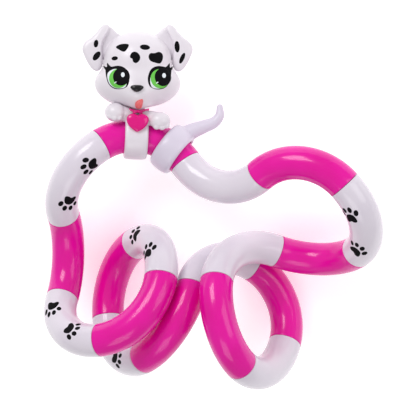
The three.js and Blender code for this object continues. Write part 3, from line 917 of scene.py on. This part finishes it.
for eye_name, eye in EYES.items():
    for layer, outlines, ink, level in eye_layers(eye):
        pads = [draped(outline, on_head, INK_HEIGHT * level) for outline in outlines]
        slot = "puppy_white" if ink is INK_PALE else "black_plastic"
        piece_name = f"eye_{eye_name}_{layer}"
        mesh = mesh_of(piece_name, combined(*pads))
        place(piece_name, mesh, head_frame, "puppy", slot, ink)

# %% [markdown]
# ## Strap, neck and front legs
#
# One moulding holds the puppy on: a strap right round the tube, a short neck that goes
# up into the head, and two front legs whose paws hook over the tube. The rounded strap
# is a tyre; the legs and paws are balls and rods. All of them are melted into one skin,
# and small toes are left standing on each paw.

# %% Balls, rods and rounded rings
def ball(at, radii, sides=32, rings=20):
    across, up = circle(sides)
    loops = []
    for tilt in np.linspace(0, math.pi, rings + 1)[1:-1]:
        wide = math.sin(tilt)
        loops.append(np.stack([across * wide, up * wide, np.full(sides, math.cos(tilt))], 1))
    points, faces = pod(loops, (0, 0, 1), (0, 0, -1))
    return points * np.array(radii) + np.array(at), faces


def rod(path, radii, sides=32):
    """A round rod along a path of points, with a radius for each point."""
    path = np.array(path, float)
    across, up = circle(sides)
    side = np.array([0.0, 1.0, 0.0])
    loops = []
    for i, point in enumerate(path):
        along = path[min(i + 1, len(path) - 1)] - path[max(i - 1, 0)]
        along /= np.linalg.norm(along)
        first = np.cross(side, along)
        first /= np.linalg.norm(first)
        second = np.cross(along, first)
        loops.append(point + radii[i] * (np.outer(across, first) + np.outer(up, second)))
    return pod(loops, path[0], path[-1])


RING_EDGE = 0.4  # mm of flat side before the rounding starts
RING_BORE_SHARE = 0.93
RING_STEPS = 29


def crowned_ring(half_width, inner, outer, fullness, sides=96):
    """A ring round the X axis with a rounded outside and a plain bore; 0 is square."""
    across, up = circle(sides)
    edge = inner + RING_EDGE
    profile = [(side * RING_BORE_SHARE * half_width, inner) for side in (-1, 1)]
    for turn in np.linspace(0, math.pi, RING_STEPS):
        x = half_width * np.sign(math.cos(turn)) * abs(math.cos(turn)) ** fullness
        profile.append((x, edge + (outer - edge) * math.sin(turn) ** fullness))
    return tyre([np.stack([np.full(sides, x), r * across, r * up], 1) for x, r in profile])


print("a ball has", len(ball((0, 0, 0), (1, 1, 1))[1]), "faces")

# %% The clip
STRAP_HALF = 3.85
STRAP_INNER = 5.95
STRAP_OUTER = 7.9
NECK = [(0, 0, 6.6), (0, 0, 9), (0, 0, 15)]
LEFT_PAW = np.array([-7.3, -5.0, 7.4])
LEFT_LEG = [(-2.4, -3.6, 6.4), (-5, -4.3, 7.2), LEFT_PAW]
LEFT_TOES = [(-1.7, -1.5, -1.3), (-0.3, -1.9, -1.8), (1.2, -1.6, -1.6)]
RIGHT_PAW = np.array([7.4, -7.1, 5.1])
RIGHT_LEG = [(2.4, -4.4, 5.9), (5, -5.8, 5.8), RIGHT_PAW]
RIGHT_TOES = [(-1.1, -1.1, -1.9), (0.7, -1.2, -2.0), (2.1, -0.9, -1.4)]
TOE = (1.2, 1.05, 1.2)
toes = [LEFT_PAW + np.array(toe) for toe in LEFT_TOES]
toes += [RIGHT_PAW + np.array(toe) for toe in RIGHT_TOES]
clip_shape = combined(
    crowned_ring(STRAP_HALF, STRAP_INNER, STRAP_OUTER, 0.45),
    rod(NECK, [3.6, 2.9, 2.9]),
    rod(LEFT_LEG, [2.5, 2.5, 2.7]),
    rod(RIGHT_LEG, [2.4, 2.5, 2.7]),
    ball(LEFT_PAW, (3.45, 3.2, 3.15)),
    ball(RIGHT_PAW, (3.5, 3.0, 2.9)),
    *[ball(at, TOE, 20, 12) for at in toes],
)
place(
    "puppy_body", fused("puppy_body", clip_shape, 0.16, 3), puppy_frame,
    "puppy", "puppy_white", PUPPY_WHITE, "puppy_clip",
)

# %% [markdown]
# ## Collar and heart
#
# A thin pink ribbon goes round the neck, and its two ends cross in front like a small
# bow. Under it hangs a glossy domed heart on the strap. Cloth would have to be simulated,
# but this ribbon is moulded and stiff, so flat strips along a path are enough.

# %% Collar and heart
COLLAR_RADIUS = 3.95
COLLAR_HEIGHT = 8.3


def ribbon(points, width, thickness):
    """A flat closed strip along points, standing along Z."""
    path = np.array(points, float)
    across, up = circle(16)
    loops = []
    for i, point in enumerate(path):
        along = path[min(i + 1, len(path) - 1)] - path[max(i - 1, 0)]
        out = np.cross(along / np.linalg.norm(along), (0, 0, 1))
        thick = np.outer(across * thickness / 2, out)
        loops.append(point + thick + np.outer(up * width / 2, (0, 0, 1)))
    return pod(loops, path[0], path[-1])


around = np.radians(np.linspace(-60, 240, 60))  # open towards the face
round_neck = np.stack(
    [COLLAR_RADIUS * np.cos(around), COLLAR_RADIUS * np.sin(around), np.full(60, COLLAR_HEIGHT)], 1
)
CROSSING_END = [(3.9, -3.3, 8.75), (2.4, -5.4, 8.35), (0, -6.6, 7.9), (-1.6, -7.2, 7.35)]
KNOT = (0, -6.8, 7.9)
collar_shape = combined(
    ribbon(round_neck, 1.4, 0.7),
    *[ribbon([(side * x, y, z) for x, y, z in CROSSING_END], 0.95, 0.55) for side in (-1, 1)],
    ball(KNOT, (0.75, 0.55, 0.6), 20, 12),
)
place(
    "collar_ribbon", fused("collar_ribbon", collar_shape, 0.12, 3), puppy_frame,
    "puppy", "collar_pink", TAG_PINK, "puppy_collar",
)

# %% Heart
HALF_HEART = [
    (0, 2.45), (0.8, 2.8), (2.0, 2.85), (3.2, 2.2), (3.65, 1.0), (3.2, -0.5), (2.0, -1.9),
    (0.6, -2.85), (0, -3.05),
]
HEART = HALF_HEART + sides_of(HALF_HEART[1:-1], -1)[::-1]
heart = smooth_outline(np.array(HEART) + np.array([0, 4.1]), 8)
place(
    "heart_tag", mesh_of("heart_tag", pillow(heart, -9.35, -7.35, (0, 4.3), 3.0)), puppy_frame,
    "puppy", "collar_pink", TAG_PINK, "puppy_heart_tag",
)

# %% [markdown]
# ## The tail
#
# The tail is a fat soft ring round the tube that runs out into a slim curled tip. A
# tyre with a full, rounded section makes the ring, a tapering rod makes the tip, and
# the two are melted together so that the root swells out of the ring. A curve with a
# taper would give the tip as well, but not the swollen root.

# %% Tail ring and tip
TAIL_HALF = 3.8
TAIL_OUTER = 8.3
TAIL_PATH = np.array([
    (0.6, 6.6), (1.9, 9.2), (3.9, 12.4), (5.7, 15.5), (5.8, 18.4), (4.1, 20.7),
])
TAIL_RADII = [2.9, 2.6, 2.2, 1.9, 1.6, 1.05]


def through(points, per_side=8):
    """A smooth open curve through the points."""
    ends = [2 * points[0] - points[1], *points, 2 * points[-1] - points[-2]]
    made = []
    for i in range(len(points) - 1):
        made += curve_points(*ends[i : i + 4], per_side)
    return np.array([*made, points[-1]])


curve = through(TAIL_PATH)
shares, stops = np.linspace(0, 1, len(curve)), np.linspace(0, 1, len(TAIL_RADII))
radii = np.interp(shares, stops, TAIL_RADII)
tail_path = np.stack([curve[:, 0], np.zeros(len(curve)), curve[:, 1]], 1)
ROOT = tail_path[3]  # a flat ball here swells the root
tail_shape = combined(
    crowned_ring(TAIL_HALF, STRAP_INNER, TAIL_OUTER, 0.72),
    rod(tail_path, radii),
    ball(tail_path[-1], (radii[-1],) * 3, 24, 14),
    ball(ROOT, (2.6, 2.4, 1.7), 24, 14),
)
place(
    "tail_and_ring", fused("tail_and_ring", tail_shape, 0.16, 6), tail_frame,
    "tail_ring", "puppy_white", TAIL_WHITE, "tail",
)

# %% [markdown]
# ## Floor
#
# A small glossy toy is shown best on a pale floor. The floor glows a little of its own
# accord, so that it stays near white and keeps only the softest shadows. It lies a tenth
# of a millimetre below the toy, so that the two never share a face.

# %% Floor
FLOOR_HALF = 900
FLOOR_DROP = 0.1
FLOOR_GLOW = 0.42
CORNERS = [(-1, -1), (1, -1), (1, 1), (-1, 1)]
floor_shape = ([(x * FLOOR_HALF, y * FLOOR_HALF, 0) for x, y in CORNERS], [(0, 1, 2, 3)])
floor_mesh = mesh_of("floor", floor_shape)
floor_mesh.transform(Matrix.Scale(MM, 4))
floor = bpy.data.objects.new("floor", floor_mesh)
bpy.context.scene.collection.objects.link(floor)
floor.location.z = -FLOOR_DROP * MM
pale_floor = plastic("pale_floor", (0.93, 0.93, 0.93), (0.92, 0.92, 0.92), (0.7, 0.8), 0)
floor_glow = pale_floor.node_tree.nodes["Principled BSDF"].inputs
floor_glow["Emission Color"].default_value = (1, 1, 1, 1)
floor_glow["Emission Strength"].default_value = FLOOR_GLOW
floor_mesh.materials.append(pale_floor)
floor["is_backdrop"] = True
print("floor is", 2 * FLOOR_HALF, "mm wide")

# %% [markdown]
# ## Camera
#
# The camera looks down on the toy, leaning a little towards its right and its head,
# through a long lens from over half a metre away. A short lens close by would make the
# near coils look too big.

# %% Camera
LOOK_AT = np.array([-0.99, 0.0, 20.95])
TO_CAMERA = np.array([0.1341, 0.2536, 0.958])
VIEW_UP = np.array([-0.0044, 0.9668, -0.2553])
DISTANCE = 661.5
HALF_VIEW_TANGENT = 0.10426
back = TO_CAMERA / np.linalg.norm(TO_CAMERA)
right = np.cross(VIEW_UP, back)
right /= np.linalg.norm(right)
camera_data = bpy.data.cameras.new("camera")
camera_data.sensor_width = 36
camera_data.lens = camera_data.sensor_width / 2 / HALF_VIEW_TANGENT
camera_data.clip_start, camera_data.clip_end = 0.05, 5
camera = bpy.data.objects.new("camera", camera_data)
bpy.context.scene.collection.objects.link(camera)
camera.matrix_world = matrix_of(right, np.cross(back, right), LOOK_AT + DISTANCE * back)
bpy.context.scene.camera = camera
print("lens:", round(camera_data.lens, 1), "mm")

# %% [markdown]
# ## Lights
#
# Big soft lamps leave long clean streaks along the tubes. The key lamp stands up and to
# the left, the fill lamp opens the shadows on the right, and a low one lights the coils
# from below. The world's even white light does the rest.

# %% Lights
def soft_light(name, rightwards, upwards, towards, size, power):
    """A square lamp placed by the camera's own directions, and aimed at the toy."""
    up = np.cross(back, right)
    place_at = LOOK_AT + rightwards * right + upwards * up + towards * back
    lamp = bpy.data.lights.new(name, "AREA")
    lamp.size = size * MM
    lamp.energy = power
    holder = bpy.data.objects.new(name, lamp)
    bpy.context.scene.collection.objects.link(holder)
    holder.location = Vector(place_at) * MM
    aim = Vector(LOOK_AT - place_at)
    holder.rotation_euler = aim.to_track_quat("-Z", "Y").to_euler()


soft_light("key", -260, 330, 420, size=260, power=1.45)
soft_light("fill", 380, 60, 380, size=320, power=0.6)
soft_light("low", -60, -380, 330, size=260, power=0.4)
WORLD_LIGHT = 0.47
world = bpy.data.worlds.new("studio")
world.use_nodes = True
sky = world.node_tree.nodes["Background"].inputs
sky["Color"].default_value = (1, 1, 1, 1)
sky["Strength"].default_value = WORLD_LIGHT
bpy.context.scene.world = world
bpy.context.scene.view_settings.view_transform = "Standard"
print("lamps:", len(bpy.data.lights))

# %% Sizes
VISUAL_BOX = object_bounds()
for name, box in (("CAD", CAD_BOX), ("visual", VISUAL_BOX)):
    print(name, "box in mm:", [[round(v / MM, 1) for v in corner] for corner in box])
